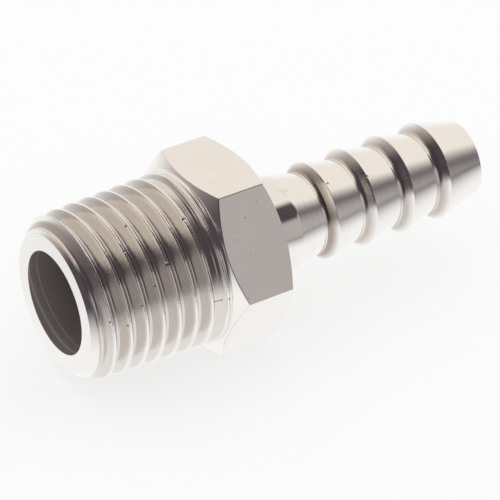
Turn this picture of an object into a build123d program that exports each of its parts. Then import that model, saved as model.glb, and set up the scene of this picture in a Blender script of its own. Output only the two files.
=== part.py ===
from build123d import *
import math
import os

# Hose tail turned from one hexagon bar: a tapered pipe thread, a hexagon for the spanner and a
# barbed spigot for the hose, with one passage through all three.
#
# It is built on a lathe axis, Z, with z = 0 at the thread-end face, and then laid down:
# +X runs along the axis to the barb end, +Z is up, and one flat of the hexagon faces down.
# All lengths are in millimetres and all angles in degrees.

# pipe thread R 1/4, ISO 7-1: Whitworth form on a cone of 1 in 16
THREAD_PITCH = 25.4 / 19
THREAD_ANGLE = 55.0
THREAD_MAJOR_DIAMETER = 13.157      # at the gauge plane
THREAD_GAUGE_LENGTH = 6.0           # from the end face to the gauge plane
THREAD_TAPER = 1 / 16               # on diameter
THREAD_LENGTH = 11.0                # from the end face to the hexagon
THREAD_START_ANGLE = -14.0          # where the middle of the groove leaves the end face
THREAD_THROAT_LENGTH = 2.2          # the groove runs out over this length, up to the hexagon
THREAD_END_DIAMETER = 10.7          # flat ring left inside the 45 degree lead-in chamfer

# hexagon
HEX_ACROSS_FLATS = 14.0
HEX_LENGTH = 5.15
HEX_FACE_DIAMETER = 13.7            # flat circle inside the chamfers
HEX_CHAMFER_ANGLE = 30.0            # from the end faces

# shank and barbs
SHANK_DIAMETER = 7.7
BARB_COUNT = 4
BARB_PITCH = 3.45
BARB_DIAMETER = 7.8                 # at the crests
BARB_CONE_ANGLE = 13.5              # from the axis, the side that the hose is pushed over
BARB_BACK_ANGLE = 50.0              # from the axis, the side that holds the hose
BARB_ROOT_RADIUS = 0.4              # cut as one straight strip between the ends of this arc
FIRST_CREST_FROM_HEX = 6.25         # from the hexagon to the first crest
NOSE_LENGTH = 3.48                  # from the last crest to the barb-end face
NOSE_EDGE_CHAMFER = 0.06

# passage
THREAD_BORE_DIAMETER = 8.0
THREAD_BORE_DEPTH = 12.5            # full diameter, before the drill point
DRILL_POINT_ANGLE = 118.0
HOSE_BORE_DIAMETER = 5.0
HOSE_BORE_CHAMFER = 0.2

# worked out from the sizes above
SHARP_DEPTH = THREAD_PITCH / 2 / math.tan(math.radians(THREAD_ANGLE / 2))
THREAD_DEPTH = 2 / 3 * SHARP_DEPTH
TAPER_ANGLE = math.degrees(math.atan(THREAD_TAPER / 2))
HEX_END = THREAD_LENGTH + HEX_LENGTH
FIRST_CREST = HEX_END + FIRST_CREST_FROM_HEX
LAST_CREST = FIRST_CREST + (BARB_COUNT - 1) * BARB_PITCH
TOTAL_LENGTH = LAST_CREST + NOSE_LENGTH

LATHE_TO_ROW = Plane(origin=(0, 0, 0), x_dir=(0, 1, 0), z_dir=(1, 0, 0))


def major_radius(z):
    """Radius over the thread crests at a distance z from the end face."""
    return THREAD_MAJOR_DIAMETER / 2 + (z - THREAD_GAUGE_LENGTH) * THREAD_TAPER / 2


def half_section(points):
    """Face in the XZ plane from (radius, z) points."""
    return make_face(Polyline(*[(radius, 0, z) for radius, z in points], close=True))


def turned(section):
    """Solid of revolution of a half section about the lathe axis."""
    return revolve(section, axis=Axis.Z)


def eased(section, corners, leg):
    """The half section with the corners at these (radius, z) points cut off, this far along both sides."""
    spots = [Vector(corner_radius, 0, z) for corner_radius, z in corners]
    chosen = [v for v in section.vertices() if any((Vector(v) - s).length < 1e-6 for s in spots)]
    return chamfer(chosen, leg)


def thread_blank():
    """Tapered plug that the thread is cut on, with its lead-in chamfer."""
    end_radius = THREAD_END_DIAMETER / 2
    chamfer = (major_radius(0) - end_radius) / (1 - THREAD_TAPER / 2)
    return turned(half_section([
        (0, 0),
        (end_radius, 0),
        (end_radius + chamfer, chamfer),
        (major_radius(THREAD_LENGTH), THREAD_LENGTH),
        (0, THREAD_LENGTH),
    ]))


def thread_groove():
    """Right-hand helical groove, from outside the end face to the hexagon, with a narrow flat as its root."""
    slope = math.tan(math.radians(THREAD_ANGLE / 2))
    start = -THREAD_PITCH
    root = major_radius(start) - THREAD_DEPTH
    clear = THREAD_DEPTH + 0.04 * THREAD_PITCH       # past the crests, short of the next turn
    half_root = SHARP_DEPTH / 6 * slope
    half_mouth = half_root + clear * slope
    # in this order the section's normal points along the path, and the swept solid isn't inside out
    section = half_section([
        (root, start - half_root),
        (root, start + half_root),
        (root + clear, start + half_mouth),
        (root + clear, start - half_mouth),
    ])
    path = Helix(
        pitch=THREAD_PITCH / math.cos(math.radians(TAPER_ANGLE)),
        height=THREAD_LENGTH - start,
        radius=root,
        center=(0, 0, start),
        cone_angle=TAPER_ANGLE,
    )
    groove = sweep(section, path=path, is_frenet=True)
    return Rot(0, 0, THREAD_START_ANGLE) * groove


def thread_throat():
    """Cone that fills the groove from its full depth to nothing at the hexagon."""
    throat = THREAD_LENGTH - THREAD_THROAT_LENGTH
    outer = major_radius(THREAD_LENGTH)
    rise = (outer - major_radius(throat) + THREAD_DEPTH) / THREAD_THROAT_LENGTH
    buried = throat - THREAD_PITCH / 2       # it starts inside the metal, with no edge in the groove's root
    return turned(half_section([
        (0, buried),
        (outer - rise * (THREAD_LENGTH - buried), buried),
        (outer, THREAD_LENGTH),
        (0, THREAD_LENGTH),
    ]))


def hexagon():
    """Hexagon with both ends chamfered on the lathe."""
    prism = Pos(0, 0, THREAD_LENGTH) * extrude(
        RegularPolygon(HEX_ACROSS_FLATS / 2, 6, major_radius=False), HEX_LENGTH
    )
    corner_radius = HEX_ACROSS_FLATS / math.sqrt(3) * 1.05
    face_radius = HEX_FACE_DIAMETER / 2
    chamfer = (corner_radius - face_radius) * math.tan(math.radians(HEX_CHAMFER_ANGLE))
    envelope = turned(half_section([
        (0, THREAD_LENGTH),
        (face_radius, THREAD_LENGTH),
        (corner_radius, THREAD_LENGTH + chamfer),
        (corner_radius, HEX_END - chamfer),
        (face_radius, HEX_END),
        (0, HEX_END),
    ]))
    return prism & envelope


def spigot():
    """Shank and barbs: each barb is a long cone that ends in a steep back face at the next crest."""
    cone = math.tan(math.radians(BARB_CONE_ANGLE))
    back = math.tan(math.radians(BARB_BACK_ANGLE))
    crest_radius = BARB_DIAMETER / 2
    shank_radius = SHANK_DIAMETER / 2
    root_before_crest = BARB_PITCH * cone / (cone + back)
    root_radius = crest_radius - root_before_crest * back
    shank_end = FIRST_CREST - BARB_PITCH + (crest_radius - shank_radius) / cone
    roots = [(root_radius, FIRST_CREST + i * BARB_PITCH - root_before_crest) for i in range(BARB_COUNT)]
    crests = [(crest_radius, FIRST_CREST + i * BARB_PITCH) for i in range(BARB_COUNT)]
    nose = (crest_radius - NOSE_LENGTH * cone, TOTAL_LENGTH)
    teeth = [point for pair in zip(roots, crests) for point in pair]
    section = half_section([
        (0, HEX_END),
        (shank_radius, HEX_END),
        (shank_radius, shank_end),
        *teeth,
        nose,
        (0, TOTAL_LENGTH),
    ])
    turning = math.radians(BARB_CONE_ANGLE + BARB_BACK_ANGLE)
    section = eased(section, roots, BARB_ROOT_RADIUS * math.tan(turning / 2))
    section = eased(section, [nose], NOSE_EDGE_CHAMFER)
    return turned(section)


def passage():
    """Drilled passage: wide in the thread, then a drill point down to the hose bore."""
    wide = THREAD_BORE_DIAMETER / 2
    narrow = HOSE_BORE_DIAMETER / 2
    point = (wide - narrow) / math.tan(math.radians(DRILL_POINT_ANGLE / 2))
    return turned(half_section([
        (0, 0),
        (wide, 0),
        (wide, THREAD_BORE_DEPTH),
        (narrow, THREAD_BORE_DEPTH + point),
        (narrow, TOTAL_LENGTH - HOSE_BORE_CHAMFER),
        (narrow + HOSE_BORE_CHAMFER, TOTAL_LENGTH),
        (0, TOTAL_LENGTH),
    ]))


def hose_tail():
    """The whole fitting as one solid, lying on a flat of its hexagon."""
    threaded = thread_blank() - thread_groove() + thread_throat()
    body = threaded + hexagon() + spigot() - passage()
    return LATHE_TO_ROW * body


os.makedirs("parts", exist_ok=True)
export_step(hose_tail(), "parts/hose_tail.step")
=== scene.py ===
import math

import bpy
import numpy as np
from mathutils import Matrix, Vector


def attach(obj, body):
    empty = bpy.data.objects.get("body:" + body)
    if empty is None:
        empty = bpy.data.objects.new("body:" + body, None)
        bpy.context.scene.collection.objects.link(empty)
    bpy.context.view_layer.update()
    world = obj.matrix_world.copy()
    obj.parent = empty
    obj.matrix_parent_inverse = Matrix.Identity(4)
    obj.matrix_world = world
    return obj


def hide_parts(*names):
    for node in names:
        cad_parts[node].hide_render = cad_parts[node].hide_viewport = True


# Looks of the hose tail: one closed mesh with the fine form of the turned part, its nickel
# finish, a pale floor and a small studio of cards for the metal to mirror.
#
# Sizes of the object are in millimetres and angles in degrees up to the point where a mesh is
# made; Blender itself works in metres. +X runs from the thread end to the barb end, +Z is up,
# and an angle about the axis is 0 at +Y and 90 at +Z.

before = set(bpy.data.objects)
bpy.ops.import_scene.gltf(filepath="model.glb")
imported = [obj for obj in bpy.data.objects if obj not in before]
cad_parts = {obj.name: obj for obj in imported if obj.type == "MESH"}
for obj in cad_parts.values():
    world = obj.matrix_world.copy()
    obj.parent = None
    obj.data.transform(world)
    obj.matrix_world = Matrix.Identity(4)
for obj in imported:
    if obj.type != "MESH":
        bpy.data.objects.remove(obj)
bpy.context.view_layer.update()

MM = 0.001


def tan(degrees):
    return math.tan(math.radians(degrees))


# thread
PITCH = 25.4 / 19
FLANK_ANGLE = 27.5
GAUGE_DIAMETER = 13.157
GAUGE_LENGTH = 6.0
TAPER = 1 / 16
THREAD_LENGTH = 11.0
START_ANGLE = -14.0                 # where the middle of the groove leaves the end face
THROAT_LENGTH = 2.2
END_DIAMETER = 10.7
LEAD_LENGTH = 1.35                  # the lead-in chamfer and the first crests lie within this
LEAD_START = 0.15                   # from here on the mesh has regular rows on the chamfer,
LEAD_STEP = 0.03                    # this far apart,
LEAD_BLEND = 0.03                   # and the edge to the thread is softened over this height

# hexagon
ACROSS_FLATS = 14.0
HEX_LENGTH = 5.15
HEX_FACE_DIAMETER = 13.7
HEX_CHAMFER_ANGLE = 30.0
HEX_CORNER_RADIUS = 0.10
HEX_FACE_EDGE = 0.05                # the soft edge of the flat end faces: this wide
HEX_FACE_RISE = 0.005               # and this deep
HEX_FOOT = 0.02                     # the first face begins this much above the thread's crests

# shank, barbs and nose
SHANK_DIAMETER = 7.7
SHANK_ROOT_RADIUS = 0.15
SHANK_END_RADIUS = 1.0              # softens the corner to the first cone
SHANK_FACE_RING = 0.4               # what the spigot's rows take of the hexagon's end face
BARB_COUNT = 4
BARB_PITCH = 3.45
BARB_DIAMETER = 7.8
BARB_CONE_ANGLE = 13.5
BARB_BACK_ANGLE = 50.0
BARB_ROOT_RADIUS = 0.4
BARB_CREST_RADIUS = 0.05
FIRST_CREST_FROM_HEX = 6.25
NOSE_LENGTH = 3.48
NOSE_EDGE_RADIUS = 0.12

# passage
BORE_DIAMETER = 8.0
BORE_DEPTH = 12.5
DRILL_POINT_ANGLE = 118.0
HOSE_BORE_DIAMETER = 5.0
HOSE_BORE_CHAMFER = 0.2
MOUTH_RADIUS = 0.04
DRILL_CORNER_RADIUS = 0.1
HOSE_BORE_EDGE_RADIUS = 0.05

EDGE_RADIUS = 0.05                  # what plating and handling leave of a machined edge
CREST_EDGE_RADIUS = 0.05
CREST_HALF_WIDTH = 0.072            # half the flat of a crest, which plating and handling have narrowed

# where the mesh has its columns, in degrees, and its rows, as parts of each stretch
COLUMN_STEP = 2
NEAR_CORNER = (-0.75, -0.42, -0.21, 0.21, 0.42, 0.75)
ROOT_ROWS = (0, 0.35, 0.7, 1)
FLANK_ROWS = (0.33, 0.67)
CREST_EDGE_ROWS = (0, 0.3, 0.6, 1)
CHAMFER_ROWS = (0.08, 0.35, 0.65, 0.9)
FLAT_ROWS = (0.35, 0.5, 0.65)

# the soft edge between the hexagon's chamfer and its flats: rows along and out, in edge radii
CHAMFER_EDGE = ((-0.5, -0.87), (0.08, -0.22), (0.9, 0))
CHAMFER_EDGE_SHARE = 0.2            # the edge takes at most this part of a narrow chamfer

# worked out from the sizes above
SHARP_DEPTH = PITCH / 2 / tan(FLANK_ANGLE)
THREAD_DEPTH = 2 / 3 * SHARP_DEPTH
ROOT_RADIUS = SHARP_DEPTH / 6 / (1 / math.sin(math.radians(FLANK_ANGLE)) - 1)
HEX_END = THREAD_LENGTH + HEX_LENGTH
FIRST_CREST = HEX_END + FIRST_CREST_FROM_HEX
LAST_CREST = FIRST_CREST + (BARB_COUNT - 1) * BARB_PITCH
TOTAL_LENGTH = LAST_CREST + NOSE_LENGTH
SHANK_END = FIRST_CREST - BARB_PITCH + (BARB_DIAMETER - SHANK_DIAMETER) / 2 / tan(BARB_CONE_ANGLE)

# across one pitch of the thread, from the middle of a root
CREST_CORNER = PITCH / 2 - CREST_HALF_WIDTH
ROOT_HALF_FLAT = CREST_CORNER - SHARP_DEPTH * 5 / 6 * tan(FLANK_ANGLE)
ROOT_END = ROOT_HALF_FLAT + ROOT_RADIUS * math.cos(math.radians(FLANK_ANGLE))
CREST_EDGE_LEG = CREST_EDGE_RADIUS * tan(45 - FLANK_ANGLE / 2)
CREST_EDGE_START = CREST_CORNER - CREST_EDGE_LEG * math.sin(math.radians(FLANK_ANGLE))
CREST_FLAT_START = CREST_CORNER + CREST_EDGE_LEG


# ---------------------------------------------------------------- shape

def major_radius(x):
    """Radius over the thread crests at a distance x from the end face."""
    return GAUGE_DIAMETER / 2 + (x - GAUGE_LENGTH) * TAPER / 2


def thread_radius(x, angle):
    """Radius of the thread: rounded roots, straight flanks, flat crests with soft edges, run-out cone."""
    turns = x / PITCH - (angle - START_ANGLE) / 360
    off_root = np.abs(turns - np.round(turns)) * PITCH
    flank = (off_root - CREST_CORNER) / tan(FLANK_ANGLE)
    into_root = np.clip(off_root - ROOT_HALF_FLAT, 0, ROOT_RADIUS)
    root = ROOT_RADIUS - THREAD_DEPTH - np.sqrt(ROOT_RADIUS**2 - into_root**2)
    into_edge = np.clip(CREST_FLAT_START - off_root, 0, CREST_EDGE_RADIUS)
    edge = np.sqrt(CREST_EDGE_RADIUS**2 - into_edge**2) - CREST_EDGE_RADIUS
    form = np.where(off_root < ROOT_END, root, np.where(off_root < CREST_EDGE_START, flank, edge))
    run_out = -THREAD_DEPTH * (THREAD_LENGTH - x) / THROAT_LENGTH
    return major_radius(x) + np.maximum(form, run_out)


def column_angles():
    """Angles of the mesh's columns: even steps, and closer ones round each corner of the hexagon."""
    even = np.arange(0, 360, COLUMN_STEP)
    corners = (np.arange(0, 360, 60)[:, None] + np.array(NEAR_CORNER)).ravel() % 360
    return np.append(np.unique(np.concatenate([even, corners]).round(6)), 360.0)


def hexagon_radius(angle):
    """Radius of the hexagon at these angles, with its six long edges rounded."""
    off_corner = (angle + 30) % 60 - 30
    flat = ACROSS_FLATS / 2 / np.cos(np.radians(30 - np.abs(off_corner)))
    centre = (ACROSS_FLATS / 2 - HEX_CORNER_RADIUS) / math.cos(math.radians(30))
    across = centre * np.sin(np.radians(off_corner))
    arc = centre * np.cos(np.radians(off_corner)) + np.sqrt(np.maximum(HEX_CORNER_RADIUS**2 - across**2, 0))
    return np.where(np.abs(across) < HEX_CORNER_RADIUS / 2, arc, flat)


STRAIGHT = 1.56                     # half of a corner's angle, in radians, from which on nothing is rounded


def rounded_line(points, steps=4):
    """(x, radius) points along a line whose corners are rounded: each point is (x, radius, corner radius)."""
    line = [points[0][:2]]
    for before, corner, after in zip(points, points[1:], points[2:]):
        here = np.array(corner[:2])
        back = np.array(before[:2]) - here
        ahead = np.array(after[:2]) - here
        back /= np.linalg.norm(back)
        ahead /= np.linalg.norm(ahead)
        half = math.acos(np.clip(back @ ahead, -1, 1)) / 2
        if corner[2] == 0 or half > STRAIGHT:
            line.append(tuple(here))
            continue
        leg = corner[2] / math.tan(half)
        start, end = here + back * leg, here + ahead * leg
        centre = here + (back + ahead) / np.linalg.norm(back + ahead) * corner[2] / math.sin(half)
        for step in np.linspace(0, 1, steps + 1):
            spoke = start + (end - start) * step - centre
            line.append(tuple(centre + spoke / np.linalg.norm(spoke) * corner[2]))
    line.append(points[-1][:2])
    return line


def turned_rows(line, angle):
    """Rows of the mesh for a turned stretch: the same x and radius at every angle."""
    return [(np.full_like(angle, x), np.full_like(angle, radius)) for x, radius in line]


def passage_rows(angle):
    """From the nose through the passage to the mouth, over the end ring and onto the lead-in chamfer."""
    wide, narrow = BORE_DIAMETER / 2, HOSE_BORE_DIAMETER / 2
    point = (wide - narrow) / tan(DRILL_POINT_ANGLE / 2)
    end_radius = END_DIAMETER / 2
    line = rounded_line([
        (TOTAL_LENGTH, narrow + HOSE_BORE_CHAMFER, 0),
        (TOTAL_LENGTH - HOSE_BORE_CHAMFER, narrow, HOSE_BORE_EDGE_RADIUS),
        (BORE_DEPTH + point, narrow, HOSE_BORE_EDGE_RADIUS),
        (BORE_DEPTH, wide, DRILL_CORNER_RADIUS),
        (0, wide, MOUTH_RADIUS),
        (0, end_radius, EDGE_RADIUS),
        (LEAD_START, end_radius + LEAD_START, 0),
    ])
    return turned_rows(line, angle)


def lead_rows(angle):
    """Regular rows where the groove cuts through the lead-in chamfer."""
    rows = []
    for x in np.arange(LEAD_START + LEAD_STEP, LEAD_LENGTH, LEAD_STEP):
        cone = END_DIAMETER / 2 + x
        form = thread_radius(x, angle)
        gap = np.maximum(LEAD_BLEND - np.abs(cone - form), 0)
        rows.append((np.full_like(angle, x), np.minimum(cone, form) - gap**2 / (4 * LEAD_BLEND)))
    return rows


def thread_rows(angle):
    """Rows that follow the helix, so roots, flanks and crests each keep their own rows."""
    rows = []
    for turn in range(-1, int(THREAD_LENGTH / PITCH) + 2):
        middle = PITCH * (turn + (angle - START_ANGLE) / 360)
        floor = np.maximum(THREAD_DEPTH * (THREAD_LENGTH - middle) / THROAT_LENGTH, 0)
        floor_half = np.clip(CREST_CORNER - floor * tan(FLANK_ANGLE), ROOT_END, CREST_EDGE_START)
        rise = [part * floor_half for part in ROOT_ROWS]
        rise += [floor_half + (CREST_EDGE_START - floor_half) * part for part in FLANK_ROWS]
        rise += [np.full_like(angle, CREST_EDGE_START + (CREST_FLAT_START - CREST_EDGE_START) * part)
                 for part in CREST_EDGE_ROWS]
        offsets = rise + [np.full_like(angle, PITCH / 2)] + [PITCH - offset for offset in rise[:0:-1]]
        rows += [np.clip(middle + offset, LEAD_LENGTH, THREAD_LENGTH) for offset in offsets]
    return [(x, thread_radius(x, angle)) for x in rows]


def hexagon_rows(angle):
    """Both chamfers end in an arc on each flat, where the cone meets the flat."""
    radius = hexagon_radius(angle)
    face = HEX_FACE_DIAMETER / 2
    slope = tan(HEX_CHAMFER_ANGLE)
    reach = radius - face
    half = [
        (np.zeros_like(radius), np.full_like(radius, face - HEX_FACE_EDGE)),
        (np.full_like(radius, HEX_FACE_RISE), np.full_like(radius, face)),
    ]
    half += [(part * reach * slope, face + part * reach) for part in CHAMFER_ROWS]
    edge = np.minimum(EDGE_RADIUS, reach * CHAMFER_EDGE_SHARE)
    half += [(reach * slope + edge * along, radius + edge * out) for along, out in CHAMFER_EDGE]
    front = [(THREAD_LENGTH + x, r) for x, r in half]
    back = [(HEX_END - x, r) for x, r in half[::-1]]
    start = major_radius(THREAD_LENGTH) + HEX_FOOT
    foot = [(np.full_like(radius, THREAD_LENGTH), np.full_like(radius, start))]
    middle = [(np.full_like(radius, THREAD_LENGTH + HEX_LENGTH * part), radius) for part in FLAT_ROWS]
    return foot + front + middle + back


def spigot_rows(angle):
    """Shank, barbs and nose."""
    crest, shank = BARB_DIAMETER / 2, SHANK_DIAMETER / 2
    cone, back = tan(BARB_CONE_ANGLE), tan(BARB_BACK_ANGLE)
    root_before = BARB_PITCH * cone / (cone + back)
    points = [
        (HEX_END, shank + SHANK_FACE_RING, 0),
        (HEX_END, shank, SHANK_ROOT_RADIUS),
        (SHANK_END, shank, SHANK_END_RADIUS),
    ]
    for barb in range(BARB_COUNT):
        x = FIRST_CREST + barb * BARB_PITCH
        points.append((x - root_before, crest - root_before * back, BARB_ROOT_RADIUS))
        points.append((x, crest, BARB_CREST_RADIUS))
    nose = crest - NOSE_LENGTH * cone
    points.append((TOTAL_LENGTH, nose, NOSE_EDGE_RADIUS))
    points.append((TOTAL_LENGTH, HOSE_BORE_DIAMETER / 2 + HOSE_BORE_CHAMFER, 0))
    return turned_rows(rounded_line(points, steps=5), angle)


def closed_mesh(name, rows, angle):
    """One closed mesh from rows of (x, radius); rows that lie on each other are welded."""
    x = np.array([row[0] for row in rows])
    radius = np.array([row[1] for row in rows])
    turn = np.radians(angle)
    grid = np.stack([x, radius * np.cos(turn), radius * np.sin(turn)], axis=-1)
    count, width = grid.shape[:2]
    flat = grid.reshape(-1, 3).round(6)
    places, index = np.unique(flat, axis=0, return_inverse=True)
    index = index.reshape(count, width)
    a, b = index[:-1, :-1], index[1:, :-1]
    c, d = index[1:, 1:], index[:-1, 1:]
    quads = np.stack([a, d, c, b], axis=-1).reshape(-1, 4)
    faces = [list(dict.fromkeys(quad)) for quad in quads.tolist()]
    mesh = bpy.data.meshes.new(name)
    mesh.from_pydata((places * MM).tolist(), [], [face for face in faces if len(face) > 2])
    mesh.validate()
    # the recess attribute carries painted shade in recesses and along the hexagon's edges, and roughness
    mesh.attributes.new("recess", "FLOAT", "POINT").data.foreach_set("value", recess(places))
    mesh.attributes.new("crest", "FLOAT", "POINT").data.foreach_set("value", crest(places))
    return mesh


CREST_ZONE = (0.5, THREAD_LENGTH - 0.1)
CREST_DEPTH = 0.03                  # how far down a crest still counts as crest


def crest(places):
    """1 on the crests of the thread, whose edges are not quite even, and 0 elsewhere."""
    x, radius = places[:, 0], np.hypot(places[:, 1], places[:, 2])
    in_zone = (x > CREST_ZONE[0]) & (x < CREST_ZONE[1])
    return np.where(in_zone & (np.abs(radius - major_radius(x)) < CREST_DEPTH), 1.0, 0.0)


THREAD_SHADE_AND_DULLING = 0.33                  # how much painted shade the nickel gets, and with it roughness: low in the thread, on the back faces of the barbs, on that of the first barb, and along the edges of the hexagon
BARB_SHADE_AND_DULLING = 0.67                    # on the back faces of the barbs,
FIRST_BARB_SHADE_AND_DULLING = 1.0               # on that of the first barb,
EDGE_SHADE_AND_DULLING = 0.4                     # and along the edges of the hexagon
THREAD_SHADE_DEPTH = 0.15                   # this far below the crests the thread has all its painted shade and roughness, and this far below the lead-in chamfer, up to
LEAD_SHADE_DEPTH = 0.1               # and this far below the lead-in chamfer, up to
LEAD_SHADE_END = 1.1
BARB_SHADE_LENGTH = 0.7              # painted shade and roughness over this stretch before each barb's crest
EDGE_SHADE_WIDTH = 0.02              # to each side of an arc of the chamfer
EDGE_SHADE_ANGLE = 0.25              # to each side of a corner, in degrees
WALL_GUARD = (1.0, 0.3)             # keeps the passage out: beyond the thread's bore, the hose's bore
END_GUARD = (0.1, 1.0)              # and the end face, and what comes before the first barb
CREST_GUARD = 0.03                  # and the barbs' crests


def recess(places):
    """How much painted shade goes into the colour, and how much rougher the turned plating is: low in the
    thread, behind the barbs and along the hexagon's edges.
    """
    x, radius = places[:, 0], np.hypot(places[:, 1], places[:, 2])
    in_thread = (radius > BORE_DIAMETER / 2 + WALL_GUARD[0]) & (x > END_GUARD[0]) & (x < THREAD_LENGTH)
    below_crest = np.clip((major_radius(x) - radius) / THREAD_SHADE_DEPTH, 0, 1)
    below_lead = np.clip((END_DIAMETER / 2 + x - radius) / LEAD_SHADE_DEPTH, 0, 1)
    thread = np.where(in_thread, below_crest, 0) * THREAD_SHADE_AND_DULLING * np.where(x < LEAD_SHADE_END, below_lead, 1)

    before_crest = (FIRST_CREST - x) % BARB_PITCH
    barb = (x > FIRST_CREST - END_GUARD[1]) & (x < LAST_CREST) & (before_crest < BARB_SHADE_LENGTH)
    barb &= (radius > HOSE_BORE_DIAMETER / 2 + WALL_GUARD[1]) & (radius < BARB_DIAMETER / 2 - CREST_GUARD)
    behind = np.where(x < FIRST_CREST, FIRST_BARB_SHADE_AND_DULLING, BARB_SHADE_AND_DULLING)

    angle = np.degrees(np.arctan2(places[:, 2], places[:, 1])) % 360
    chamfer = (hexagon_radius(angle) - HEX_FACE_DIAMETER / 2) * tan(HEX_CHAMFER_ANGLE)
    on_hexagon = (radius > HEX_FACE_DIAMETER / 2) & (x > THREAD_LENGTH) & (x < HEX_END)
    past_arc = np.minimum(x - THREAD_LENGTH, HEX_END - x) - chamfer
    off_corner = np.abs((angle + 30) % 60 - 30)
    on_arc = np.abs(past_arc) < EDGE_SHADE_WIDTH
    on_corner = (off_corner < EDGE_SHADE_ANGLE) & (past_arc > 0)
    edge = on_hexagon & (on_arc | on_corner)
    return np.maximum(np.where(barb, behind, thread), np.where(edge, EDGE_SHADE_AND_DULLING, 0))


NEAR_SURFACE = 0.01                 # in millimetres
FACING_AXIS = -0.3                  # a normal's part away from the axis, in the passage less than this
ALONG_FLAT = 0.02                   # a normal's part along the axis, on a flat less than this


def choose_finishes(mesh):
    """Slot 0 on all that was turned, 1 inside the passage and 2 on the flats of the hexagon."""
    centre = np.array([polygon.center for polygon in mesh.polygons]) / MM
    normal = np.array([polygon.normal for polygon in mesh.polygons])
    radius = np.hypot(centre[:, 1], centre[:, 2])
    outward = (normal[:, 1:] * centre[:, 1:]).sum(axis=1) / radius
    passage = (radius < BORE_DIAMETER / 2 + NEAR_SURFACE) & (outward < FACING_AXIS)
    flats = (radius > ACROSS_FLATS / 2 - NEAR_SURFACE) & (np.abs(normal[:, 0]) < ALONG_FLAT)
    mesh.polygons.foreach_set("material_index", np.select([passage, flats], [1, 2], 0))


def smooth_by_area(mesh):
    """Smooth shading in which the large faces keep their own direction and narrow edges turn it."""
    normals = np.zeros((len(mesh.vertices), 3))
    for polygon in mesh.polygons:
        normals[list(polygon.vertices)] += np.array(polygon.normal) * polygon.area
    normals /= np.maximum(np.linalg.norm(normals, axis=1, keepdims=True), 1e-12)
    mesh.shade_smooth()
    mesh.normals_split_custom_set_from_vertices(normals.tolist())


def fitting():
    """The piece: five stretches, from the nose through the passage and back over the outside."""
    angle = column_angles()
    stretches = (passage_rows, lead_rows, thread_rows, hexagon_rows, spigot_rows)
    rows = [row for stretch in stretches for row in stretch(angle)]
    mesh = closed_mesh("fitting", rows, angle)
    choose_finishes(mesh)
    smooth_by_area(mesh)
    piece = bpy.data.objects.new("fitting", mesh)
    bpy.context.scene.collection.objects.link(piece)
    return piece


# ---------------------------------------------------------------- finish

NICKEL_COLOUR = (0.90, 0.88, 0.85)
# the dull colour is the real duller tone of tool lines, clouds and waves, and also the painted shade in
# recesses and along the hexagon's edges
DULL_AND_SHADE_COLOUR = (0.42, 0.34, 0.30)
MARK_COLOUR = (0.13, 0.11, 0.11)
BORE_COLOUR = (0.38, 0.325, 0.315)

# turned surfaces: periods and heights in millimetres, the rest as shares
LINE_PERIOD = 0.12
LINE_DULLING = 0.20
LINE_HEIGHT = 0.0022
CLOUD_PERIOD = 2.2
CLOUD_DULLING = 0.10
CLOUD_ROUGHNESS = 0.05
GRAIN_PERIOD = 0.35
GRAIN_ROUGHNESS = 0.03
GRAIN_HEIGHT = 0.0008
CLEAN_DULLING = 0.15                # below this share of dull tone and painted shade the nickel keeps its own colour
POLISHED_ROUGHNESS = 0.03
RECESS_ROUGHNESS = 0.40
CREST_PERIOD = 0.45                 # unevenness of the thread's crests
CREST_HEIGHT = 0.022
RUN_OUT_PERIOD = 0.28               # coarser lines where the thread runs out
RUN_OUT_HEIGHT = 0.06
RUN_OUT_STARTS = (1.8, 1.2)         # before the thread's end: from none to full
NICK_DARKNESS = 0.6
NICK_DEPTH = 0.05
SCUFF_DARKNESS = 0.15
STAIN_DARKNESS = 0.9

# drawn flats of the hexagon
FLAT_STRETCH = (0.45, 1.0, 1.0)     # the pattern is longer along the bar
WAVE_PERIOD = 1.1
WAVE_DULLING = 0.10
WAVE_ROUGHNESS = 0.06
WAVE_HEIGHT = 0.003
FLAT_GRAIN_PERIOD = 0.22
FLAT_GRAIN_ROUGHNESS = 0.05
FLAT_GRAIN_HEIGHT = 0.0006
FLAT_ROUGHNESS = 0.05
PIT_SPACING = 0.75
PIT_SIZE = (0.11, 0.03)             # rim and floor, as shares of the spacing
PIT_RARITY = 0.72                   # this share of the places stays without a pit
PIT_DARKNESS = 0.08
PIT_DEPTH = 0.0008
FLAT_NICK_DARKNESS = 0.18
FLAT_NICK_DEPTH = 0.006

# passage
BORE_METALLIC = 0.5
BORE_ROUGHNESS = 0.38
BORE_CLOUD_PERIOD = 1.5
BORE_CLOUD_SHADE = 0.8
BORE_CLOUD_ROUGHNESS = 0.15
FEED_PERIOD = 0.55                  # lines of the drill
FEED_TILT = 0.12
FEED_LINE = (0.58, 0.68)            # between these values the noise turns into a light line
FEED_BRIGHTNESS = 0.55
FEED_HEIGHT = 0.02


def stroke(start, end, count, radius):
    """Marks in a row between two places."""
    return [(*place, radius) for place in np.linspace(start, end, count).tolist()]


# Marks that the photo shows; their places were read off through the photo's camera
# and rounded. Each is a distance from the end face, an angle about the axis and a radius.
NICKS = [
    (6.55, 143.5, 0.20),
    (5.0, 110.0, 0.13),
    (3.85, 126.5, 0.13),
    (9.15, 120.0, 0.15),
    (2.55, 173.5, 0.11),
    (1.2, 166.5, 0.11),
    (3.85, 163.0, 0.12),
    (5.15, 153.5, 0.12),
    (22.6, 119.0, 0.13),
    (25.9, 127.0, 0.13),
]
STAINS = stroke((9.7, 180.0), (10.15, 180.0), 4, 0.09) + [(10.3, 179.5, 0.11), (10.8, 179.0, 0.13)]
SCUFFS = stroke((18.7, 108.0), (19.3, 110.0), 4, 0.16) + stroke((18.95, 111.5), (18.95, 117.0), 3, 0.14)
FLAT_NICKS = [
    (13.3, 133.0, 0.14),
    (12.0, 143.0, 0.09),
    (11.75, 176.5, 0.14),
    (12.9, 154.0, 0.08),
    (14.6, 127.0, 0.08),
]


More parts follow.
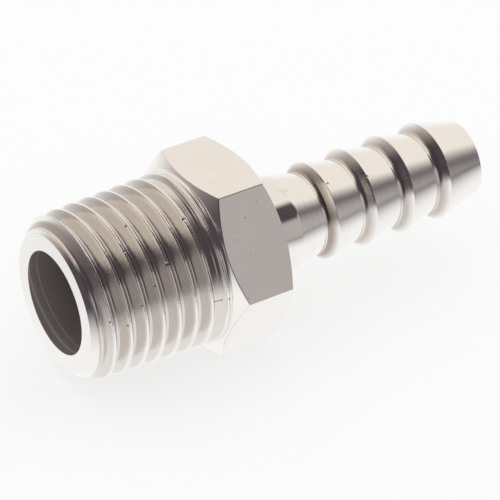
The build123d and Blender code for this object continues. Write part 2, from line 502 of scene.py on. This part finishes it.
def on_surface(x, angle):
    """The point on the outside at a distance from the end face and an angle about the axis."""
    if x < THREAD_LENGTH:
        radius = min(END_DIAMETER / 2 + x, float(thread_radius(x, angle)))
    elif x < HEX_END:
        radius = float(hexagon_radius(angle))
    elif x < SHANK_END:
        radius = SHANK_DIAMETER / 2
    else:
        radius = BARB_DIAMETER / 2 - (x - FIRST_CREST) % BARB_PITCH * tan(BARB_CONE_ANGLE)
    turn = math.radians(angle)
    return (x, radius * math.cos(turn), radius * math.sin(turn))


def add(nodes, kind, inputs=None, **settings):
    """A new node with its settings and with plain values on some of its inputs, by index or name."""
    node = nodes.new(kind)
    for name, value in settings.items():
        setattr(node, name, value)
    for socket, value in (inputs or {}).items():
        node.inputs[socket].default_value = value
    return node


def new_metal(name, metallic=1.0):
    """A material with its Principled shader, and its nodes and links."""
    material = bpy.data.materials.new(name)
    material.use_nodes = True
    nodes, links = material.node_tree.nodes, material.node_tree.links
    shader = nodes["Principled BSDF"]
    shader.inputs["Metallic"].default_value = metallic
    return material, nodes, links, shader


def in_millimetres(nodes, links):
    """The point on the object in millimetres."""
    point = add(nodes, "ShaderNodeTexCoord")
    scaled = add(nodes, "ShaderNodeVectorMath", operation="SCALE", inputs={"Scale": 1 / MM})
    links.new(point.outputs["Object"], scaled.inputs["Vector"])
    return scaled.outputs["Vector"]


def calculate(nodes, links, operation, *values):
    """A Math node whose inputs are sockets or numbers."""
    node = add(nodes, "ShaderNodeMath", operation=operation)
    for socket, value in zip(node.inputs, values):
        if isinstance(value, (int, float)):
            socket.default_value = value
        else:
            links.new(value, socket)
    return node.outputs["Value"]


def tool_lines(nodes, links, point, period):
    """Fine lines round the axis that follow the turned cones and the thread's helix."""
    parts = add(nodes, "ShaderNodeSeparateXYZ")
    links.new(point, parts.inputs["Vector"])
    squares = [calculate(nodes, links, "POWER", parts.outputs[axis], 2.0) for axis in "YZ"]
    radius = calculate(nodes, links, "SQRT", calculate(nodes, links, "ADD", *squares))
    level = calculate(nodes, links, "MULTIPLY_ADD", parts.outputs["X"], -TAPER / 2, radius)
    lines = add(nodes, "ShaderNodeTexNoise", noise_dimensions="1D",
                inputs={"Scale": 1 / period, "Detail": 3.0, "Roughness": 0.6})
    links.new(level, lines.inputs["W"])
    return lines.outputs["Fac"]


def run_out_lines(nodes, links, point):
    """Heights of the coarser lines that the die leaves where the thread runs out."""
    parts = add(nodes, "ShaderNodeSeparateXYZ")
    links.new(point, parts.inputs["Vector"])
    x = parts.outputs["X"]
    begins = add(nodes, "ShaderNodeMapRange", interpolation_type="SMOOTHSTEP",
                 inputs={"From Min": THREAD_LENGTH - RUN_OUT_STARTS[0],
                         "From Max": THREAD_LENGTH - RUN_OUT_STARTS[1]})
    links.new(x, begins.inputs["Value"])
    before_end = calculate(nodes, links, "LESS_THAN", x, THREAD_LENGTH)
    lines = add(nodes, "ShaderNodeTexNoise", noise_dimensions="1D",
                inputs={"Scale": 1 / RUN_OUT_PERIOD, "Detail": 1.0})
    links.new(x, lines.inputs["W"])
    strength = calculate(nodes, links, "MULTIPLY", begins.outputs["Result"], before_end)
    strength = calculate(nodes, links, "MULTIPLY", strength, RUN_OUT_HEIGHT)
    return calculate(nodes, links, "MULTIPLY", lines.outputs["Fac"], strength)


def noise(nodes, links, point, period, detail=2.0):
    """Soft noise in space, whose features are about one period wide."""
    texture = add(nodes, "ShaderNodeTexNoise", inputs={"Scale": 1 / period, "Detail": detail})
    links.new(point, texture.inputs["Vector"])
    return texture.outputs["Fac"]


MARK_CORE = 3                       # the middle third of a mark has its full strength


def marks(nodes, links, point, places):
    """1 inside each of the marks and 0 elsewhere."""
    total = 0.0
    for x, angle, radius in places:
        reach = add(nodes, "ShaderNodeVectorMath", operation="DISTANCE", inputs={1: on_surface(x, angle)})
        links.new(point, reach.inputs[0])
        spot = add(nodes, "ShaderNodeMapRange", interpolation_type="SMOOTHSTEP",
                   inputs={"From Min": radius, "From Max": radius / MARK_CORE})
        links.new(reach.outputs["Value"], spot.inputs["Value"])
        total = calculate(nodes, links, "MAXIMUM", spot.outputs["Result"], total)
    return total


def blend(nodes, links, factor, first, second):
    """Colour between two colours, each a socket or three numbers."""
    mix = add(nodes, "ShaderNodeMix", data_type="RGBA")
    links.new(factor, mix.inputs[0])
    for socket, colour in ((mix.inputs[6], first), (mix.inputs[7], second)):
        if isinstance(colour, tuple):
            socket.default_value = (*colour, 1)
        else:
            links.new(colour, socket)
    return mix.outputs[2]


def raise_surface(nodes, links, shader, height):
    """Bump from a height in millimetres."""
    bump = add(nodes, "ShaderNodeBump", inputs={"Distance": MM, "Strength": 1.0})
    links.new(height, bump.inputs["Height"])
    links.new(bump.outputs["Normal"], shader.inputs["Normal"])


def turned_nickel():
    """Bright nickel on turned brass: fine lines of the tool, a soft grain, painted shade and more roughness
    low in recesses and along edges.
    """
    material, nodes, links, shader = new_metal("nickel_turned")
    point = in_millimetres(nodes, links)
    lines = tool_lines(nodes, links, point, period=LINE_PERIOD)
    cloud = noise(nodes, links, point, period=CLOUD_PERIOD)
    grain = noise(nodes, links, point, period=GRAIN_PERIOD, detail=3.0)
    # recess attribute: painted shade in recesses and along edges, and roughness
    recessed = add(nodes, "ShaderNodeAttribute", attribute_name="recess").outputs["Fac"]
    nicks = marks(nodes, links, point, NICKS)
    stains = marks(nodes, links, point, STAINS)
    scuffs = marks(nodes, links, point, SCUFFS)

    # tool lines and clouds give a real duller tone; the recess adds painted shade
    tone_and_shade = calculate(nodes, links, "MULTIPLY_ADD", lines, LINE_DULLING, recessed)
    tone_and_shade = calculate(nodes, links, "MULTIPLY_ADD", cloud, CLOUD_DULLING, tone_and_shade)
    tone_and_shade = calculate(nodes, links, "SUBTRACT", tone_and_shade, CLEAN_DULLING)
    tone_and_shade = calculate(nodes, links, "MAXIMUM", tone_and_shade, 0.0)
    colour = blend(nodes, links, tone_and_shade, NICKEL_COLOUR, DULL_AND_SHADE_COLOUR)
    dark = calculate(nodes, links, "MULTIPLY", nicks, NICK_DARKNESS)
    dark = calculate(nodes, links, "MULTIPLY_ADD", scuffs, SCUFF_DARKNESS, dark)
    dark = calculate(nodes, links, "MULTIPLY_ADD", stains, STAIN_DARKNESS, dark)
    links.new(blend(nodes, links, dark, colour, MARK_COLOUR), shader.inputs["Base Color"])

    rough = calculate(nodes, links, "MINIMUM", recessed, THREAD_SHADE_AND_DULLING)
    rough = calculate(nodes, links, "MULTIPLY_ADD", rough, RECESS_ROUGHNESS, POLISHED_ROUGHNESS)
    rough = calculate(nodes, links, "MULTIPLY_ADD", cloud, CLOUD_ROUGHNESS, rough)
    rough = calculate(nodes, links, "MULTIPLY_ADD", grain, GRAIN_ROUGHNESS, rough)
    links.new(rough, shader.inputs["Roughness"])

    height = calculate(nodes, links, "MULTIPLY", lines, LINE_HEIGHT)
    height = calculate(nodes, links, "MULTIPLY_ADD", grain, GRAIN_HEIGHT, height)
    on_crest = add(nodes, "ShaderNodeAttribute", attribute_name="crest").outputs["Fac"]
    uneven = noise(nodes, links, point, period=CREST_PERIOD, detail=4.0)
    uneven = calculate(nodes, links, "MULTIPLY", uneven, CREST_HEIGHT)
    height = calculate(nodes, links, "MULTIPLY_ADD", on_crest, uneven, height)
    height = calculate(nodes, links, "ADD", height, run_out_lines(nodes, links, point))
    height = calculate(nodes, links, "MULTIPLY_ADD", nicks, -NICK_DEPTH, height)
    raise_surface(nodes, links, shader, height)
    return material


def flat_nickel():
    """Nickel on the drawn flats of the bar: faint waves along it, a few small pits, and painted shade along
    its edges.
    """
    material, nodes, links, shader = new_metal("nickel_flats")
    point = in_millimetres(nodes, links)
    stretched = add(nodes, "ShaderNodeVectorMath", operation="MULTIPLY", inputs={1: FLAT_STRETCH})
    links.new(point, stretched.inputs[0])
    along = stretched.outputs["Vector"]
    waves = noise(nodes, links, along, period=WAVE_PERIOD)
    grain = noise(nodes, links, along, period=FLAT_GRAIN_PERIOD, detail=3.0)
    cells = add(nodes, "ShaderNodeTexVoronoi", inputs={"Scale": 1 / PIT_SPACING})
    links.new(point, cells.inputs["Vector"])
    chance = add(nodes, "ShaderNodeSeparateXYZ")
    links.new(cells.outputs["Color"], chance.inputs["Vector"])
    spot = add(nodes, "ShaderNodeMapRange", interpolation_type="SMOOTHSTEP",
               inputs={"From Min": PIT_SIZE[0], "From Max": PIT_SIZE[1]})
    links.new(cells.outputs["Distance"], spot.inputs["Value"])
    rare = calculate(nodes, links, "GREATER_THAN", chance.outputs["X"], PIT_RARITY)
    pits = calculate(nodes, links, "MULTIPLY", spot.outputs["Result"], rare)
    nicks = marks(nodes, links, point, FLAT_NICKS)

    # painted shade along the hexagon's edges, from the recess attribute
    edges = add(nodes, "ShaderNodeAttribute", attribute_name="recess").outputs["Fac"]
    tone_and_shade = calculate(nodes, links, "MULTIPLY_ADD", waves, WAVE_DULLING, edges)
    colour = blend(nodes, links, tone_and_shade, NICKEL_COLOUR, DULL_AND_SHADE_COLOUR)
    dark = calculate(nodes, links, "MULTIPLY", nicks, FLAT_NICK_DARKNESS)
    dark = calculate(nodes, links, "MULTIPLY_ADD", pits, PIT_DARKNESS, dark)
    links.new(blend(nodes, links, dark, colour, MARK_COLOUR), shader.inputs["Base Color"])

    rough = calculate(nodes, links, "MULTIPLY_ADD", waves, WAVE_ROUGHNESS, FLAT_ROUGHNESS)
    rough = calculate(nodes, links, "MULTIPLY_ADD", grain, FLAT_GRAIN_ROUGHNESS, rough)
    links.new(rough, shader.inputs["Roughness"])

    height = calculate(nodes, links, "MULTIPLY", waves, WAVE_HEIGHT)
    height = calculate(nodes, links, "MULTIPLY_ADD", grain, FLAT_GRAIN_HEIGHT, height)
    height = calculate(nodes, links, "MULTIPLY_ADD", pits, -PIT_DEPTH, height)
    height = calculate(nodes, links, "MULTIPLY_ADD", nicks, -FLAT_NICK_DEPTH, height)
    raise_surface(nodes, links, shader, height)
    return material


def bore_nickel():
    """Thin dull plating in the passage, with the drill's marks running round as light lines."""
    material, nodes, links, shader = new_metal("nickel_bore", metallic=BORE_METALLIC)
    point = in_millimetres(nodes, links)
    parts = add(nodes, "ShaderNodeSeparateXYZ")
    links.new(point, parts.inputs["Vector"])
    feed = add(nodes, "ShaderNodeTexNoise", noise_dimensions="1D",
               inputs={"Scale": 1 / FEED_PERIOD, "Detail": 2.0, "Roughness": 0.7})
    tilted = calculate(nodes, links, "MULTIPLY_ADD", parts.outputs["Z"], FEED_TILT, parts.outputs["X"])
    links.new(tilted, feed.inputs["W"])
    line = add(nodes, "ShaderNodeMapRange", interpolation_type="SMOOTHSTEP",
               inputs={"From Min": FEED_LINE[0], "From Max": FEED_LINE[1]})
    links.new(feed.outputs["Fac"], line.inputs["Value"])
    cloud = noise(nodes, links, point, period=BORE_CLOUD_PERIOD)
    bright = calculate(nodes, links, "MULTIPLY", line.outputs["Result"], FEED_BRIGHTNESS)
    shaded = tuple(BORE_CLOUD_SHADE * part for part in BORE_COLOUR)
    colour = blend(nodes, links, cloud, BORE_COLOUR, shaded)
    links.new(blend(nodes, links, bright, colour, NICKEL_COLOUR), shader.inputs["Base Color"])
    rough = calculate(nodes, links, "MULTIPLY_ADD", cloud, BORE_CLOUD_ROUGHNESS, BORE_ROUGHNESS)
    links.new(rough, shader.inputs["Roughness"])
    height = calculate(nodes, links, "MULTIPLY", feed.outputs["Fac"], FEED_HEIGHT)
    raise_surface(nodes, links, shader, height)
    return material


# ---------------------------------------------------------------- camera, floor and light

CAMERA_AZIMUTH = -31.85
CAMERA_ELEVATION = 33.5
CAMERA_ROLL = -0.98
CAMERA_DISTANCE = 206.07            # from the point looked at
CAMERA_SLIDE = (2.679, 2.249)       # how far the picture's middle lies from that point
CAMERA_TARGET = (20.0, 0.0, 0.0)
CAMERA_LENS = 195.6
CAMERA_SENSOR = 36
CAMERA_CLIP = 0.01                  # in metres


def make_camera():
    """The photo's point of view."""
    azimuth, elevation, roll = (math.radians(a) for a in (CAMERA_AZIMUTH, CAMERA_ELEVATION, CAMERA_ROLL))
    back = Vector((
        math.sin(azimuth) * math.cos(elevation),
        -math.cos(azimuth) * math.cos(elevation),
        math.sin(elevation),
    ))
    level = Vector((math.cos(azimuth), math.sin(azimuth), 0))
    upright = back.cross(level)
    right = level * math.cos(roll) + upright * math.sin(roll)
    up = upright * math.cos(roll) - level * math.sin(roll)
    place = Vector(CAMERA_TARGET) - right * CAMERA_SLIDE[0] - up * CAMERA_SLIDE[1] + back * CAMERA_DISTANCE
    data = bpy.data.cameras.new("camera")
    data.sensor_width = CAMERA_SENSOR
    data.lens = CAMERA_LENS
    data.clip_start = CAMERA_CLIP
    camera = bpy.data.objects.new("camera", data)
    camera.matrix_world = Matrix.Translation(place * MM) @ Matrix((right, up, back)).transposed().to_4x4()
    bpy.context.scene.collection.objects.link(camera)
    bpy.context.scene.camera = camera


FLOOR_SIZE = 4                      # in metres
FLOOR_COLOUR = (0.93, 0.93, 0.93)
FLOOR_GLOW = 0.72                   # how much of the floor that camera and polish see is plain white


def blank_material(name):
    material = bpy.data.materials.new(name)
    material.use_nodes = True
    material.node_tree.nodes.clear()
    return material, material.node_tree.nodes, material.node_tree.links


def mixed_surface(nodes, links, factor, first, second):
    """The first shader where the factor is 0 and the second where it is 1."""
    mix = add(nodes, "ShaderNodeMixShader")
    links.new(factor, mix.inputs["Fac"])
    links.new(first, mix.inputs[1])
    links.new(second, mix.inputs[2])
    output = add(nodes, "ShaderNodeOutputMaterial")
    links.new(mix.outputs["Shader"], output.inputs["Surface"])


def make_floor():
    """Pale floor that keeps the object's soft shadow; the metal mirrors the same floor."""
    bpy.ops.mesh.primitive_plane_add(size=FLOOR_SIZE, location=(0, 0, -ACROSS_FLATS / 2 * MM))
    floor = bpy.context.object
    floor.name = "floor"
    material, nodes, links = blank_material("floor")
    matt = add(nodes, "ShaderNodeBsdfDiffuse", inputs={"Color": (*FLOOR_COLOUR, 1)})
    white = add(nodes, "ShaderNodeEmission")
    ray = add(nodes, "ShaderNodeLightPath").outputs
    mirrored = calculate(nodes, links, "MAXIMUM", ray["Is Glossy Ray"], ray["Is Transmission Ray"])
    seen = calculate(nodes, links, "MULTIPLY_ADD", ray["Is Camera Ray"], FLOOR_GLOW, mirrored)
    mixed_surface(nodes, links, seen, matt.outputs["BSDF"], white.outputs["Emission"])
    floor.data.materials.append(material)


STUDIO_RADIUS = 500.0
STUDIO_CENTRE = (14.0, 0.0, 2.0)
CARD_SPACING = 8.0                  # each card stands this much in front of the one before
CARD_LIFT = 0.02                    # and lies this much above it on the floor
CARD_LEAN = 0.4                     # how far a card's sides lean for each degree above LEAN_START
LEAN_START = 35

CARD_MESH_STEPS = (3, 2)            # degrees across and up
SHALLOWEST = 1e-6                   # keeps what lies at or above the horizon off the floor

# Cards round the object that only its polish mirrors, placed to bring the photo's bands
# of light and dark: azimuths from +X towards +Y, elevations, colour, and how far in from its
# edges each card fades: first and last azimuth, bottom, top. What is below the horizon lies on
# the floor. Later cards stand in front.
CARDS = {
    "card_overhead": ((-180, 180), (56, 90), (0.60, 0.52, 0.48), (0, 0, 22, 0)),
    "card_back_cream": ((-40, 112), (-2, 80), (0.93, 0.88, 0.81), (25, 20, 20, 25)),
    "card_left_beige": ((98, 200), (-16, 84), (0.47, 0.42, 0.39), (35, 20, 12, 12)),
    "card_front_dark": ((-232, -8), (-28, 84), (0.080, 0.067, 0.078), (45, 24, 28, 16)),
    "card_front_grey": ((-96, -26), (-14, 34), (0.48, 0.45, 0.45), (18, 12, 10, 10)),
}


def fade(value, low, high, fade_low, fade_high):
    """0 at both ends of a range and 1 further in than the fades."""
    inward = np.minimum((value - low) / max(fade_low, 1e-6), (high - value) / max(fade_high, 1e-6))
    inward = np.clip(inward if fade_low or fade_high else np.ones_like(value), 0, 1)
    return inward**2 * (3 - 2 * inward)


def card_mesh(name, azimuths, elevations, fades, radius):
    """A patch of a sphere round the object, down to the floor, with its cover for each point."""
    across = np.linspace(*azimuths, int((azimuths[1] - azimuths[0]) / CARD_MESH_STEPS[0]) + 1)
    up = np.linspace(*elevations, int((elevations[1] - elevations[0]) / CARD_MESH_STEPS[1]) + 1)
    lean = CARD_LEAN * np.maximum(up - LEAN_START, 0)[:, None]
    azimuth, elevation = np.radians(across[None, :] - lean), np.radians(up[:, None] + 0 * across)
    lift = CARD_LIFT * ((STUDIO_RADIUS - radius) / CARD_SPACING + 1)
    above_floor = STUDIO_CENTRE[2] + ACROSS_FLATS / 2 - lift
    reach = np.minimum(radius, above_floor / np.maximum(-np.sin(elevation), SHALLOWEST))
    direction = np.stack([
        np.cos(elevation) * np.cos(azimuth),
        np.cos(elevation) * np.sin(azimuth),
        np.sin(elevation),
    ], axis=-1)
    places = direction * reach[..., None] + np.array(STUDIO_CENTRE)
    index = np.arange(azimuth.size).reshape(azimuth.shape)
    quads = np.stack([index[:-1, :-1], index[:-1, 1:], index[1:, 1:], index[1:, :-1]], axis=-1).reshape(-1, 4)
    mesh = bpy.data.meshes.new(name)
    mesh.from_pydata((places.reshape(-1, 3) * MM).tolist(), [], quads.tolist())
    cover = fade(across, *azimuths, *fades[:2])[None, :] * fade(up, *elevations, *fades[2:])[:, None]
    mesh.attributes.new("cover", "FLOAT", "POINT").data.foreach_set("value", cover.ravel())
    return mesh


def make_card(name, azimuths, elevations, colour, fades, radius):
    """A glowing card with soft edges that neither the camera nor matt surfaces see."""
    mesh = card_mesh(name, azimuths, elevations, fades, radius)
    material, nodes, links = blank_material(name)
    cover = add(nodes, "ShaderNodeAttribute", attribute_name="cover").outputs["Fac"]
    clear = add(nodes, "ShaderNodeBsdfTransparent")
    glow = add(nodes, "ShaderNodeEmission", inputs={"Color": (*colour, 1)})
    mixed_surface(nodes, links, cover, clear.outputs["BSDF"], glow.outputs["Emission"])
    mesh.materials.append(material)
    card = bpy.data.objects.new(name, mesh)
    bpy.context.scene.collection.objects.link(card)
    card.visible_camera = False
    card.visible_diffuse = False
    card.visible_shadow = False


def make_world():
    """Plain white light from all sides, which is also the background."""
    world = bpy.data.worlds.new("studio")
    world.use_nodes = True
    background = world.node_tree.nodes["Background"]
    background.inputs["Color"].default_value = (1, 1, 1, 1)
    background.inputs["Strength"].default_value = 1.0
    bpy.context.scene.world = world


# ---------------------------------------------------------------- the scene

piece = fitting()
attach(piece, "root")
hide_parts("hose_tail")
for material in (turned_nickel(), bore_nickel(), flat_nickel()):
    piece.data.materials.append(material)

make_camera()
make_floor()
make_world()
for step, (name, card) in enumerate(CARDS.items()):
    make_card(name, *card, radius=STUDIO_RADIUS - CARD_SPACING * step)
bpy.context.scene.view_settings.view_transform = "Standard"
